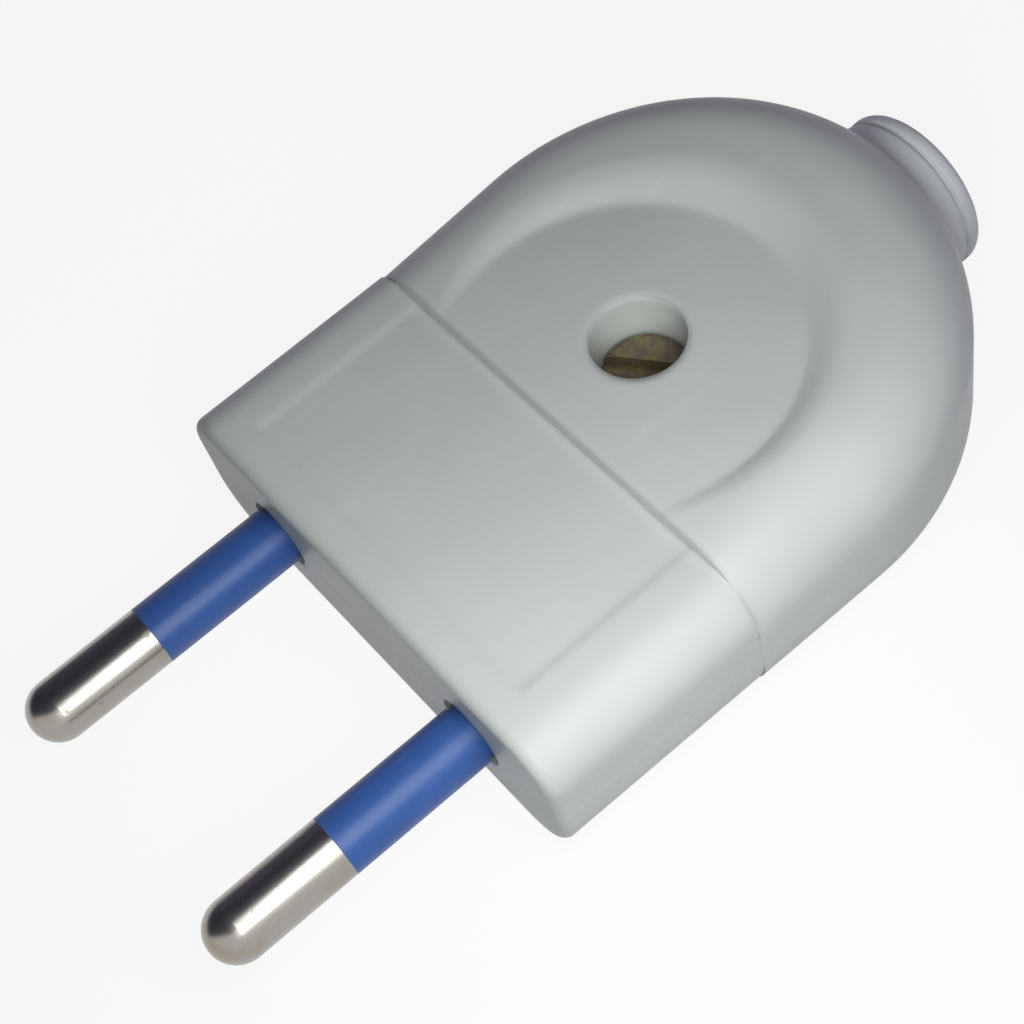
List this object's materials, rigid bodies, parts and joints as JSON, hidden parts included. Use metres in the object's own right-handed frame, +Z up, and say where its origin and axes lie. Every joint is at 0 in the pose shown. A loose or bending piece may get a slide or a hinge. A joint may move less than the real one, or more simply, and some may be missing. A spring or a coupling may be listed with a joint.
{
  "type": "two-pin plug",
  "caption": "Rewirable mains plug: rounded two-half body with a thumb dish and screw hole, straight round pins with insulated roots, and a short ringed cord guard.",
  "frame": {"origin": "on the front face of the body, midway between the two pins, on the line through the pin axes", "axes": "+X from the left pin to the right pin, +Y along the body towards the cord guard (the pins point to -Y), +Z up through the cover with the screw hole"},
  "size_m": [0.0354, 0.0642, 0.0145],
  "materials": {
    "body_plastic": "moulded, glossy off-white",
    "guard_plastic": "soft moulded, satin off-white",
    "clamp_plastic": "moulded, matt",
    "sleeve_plastic": "moulded, glossy blue",
    "plated_contact": "nickel plated over brass, polished",
    "plated_steel": "zinc plated",
    "screw_brass": "dull, tarnished"
  },
  "bodies": {
    "root": {"base_shell": "body_plastic", "cover_shell": "body_plastic", "contact_pin_left": "plated_contact", "contact_pin_right": "plated_contact", "pin_sleeve_left": "sleeve_plastic", "pin_sleeve_right": "sleeve_plastic", "wire_saddle_left": "plated_steel", "wire_saddle_right": "plated_steel", "terminal_screw_left": "plated_steel", "terminal_screw_right": "plated_steel", "cover_screw": "screw_brass", "cover_nut": "screw_brass", "cord_clamp_bar": "clamp_plastic", "cord_clamp_screw_left": "plated_steel", "cord_clamp_screw_right": "plated_steel", "cord_guard": "guard_plastic"}
  },
  "joints": []
}
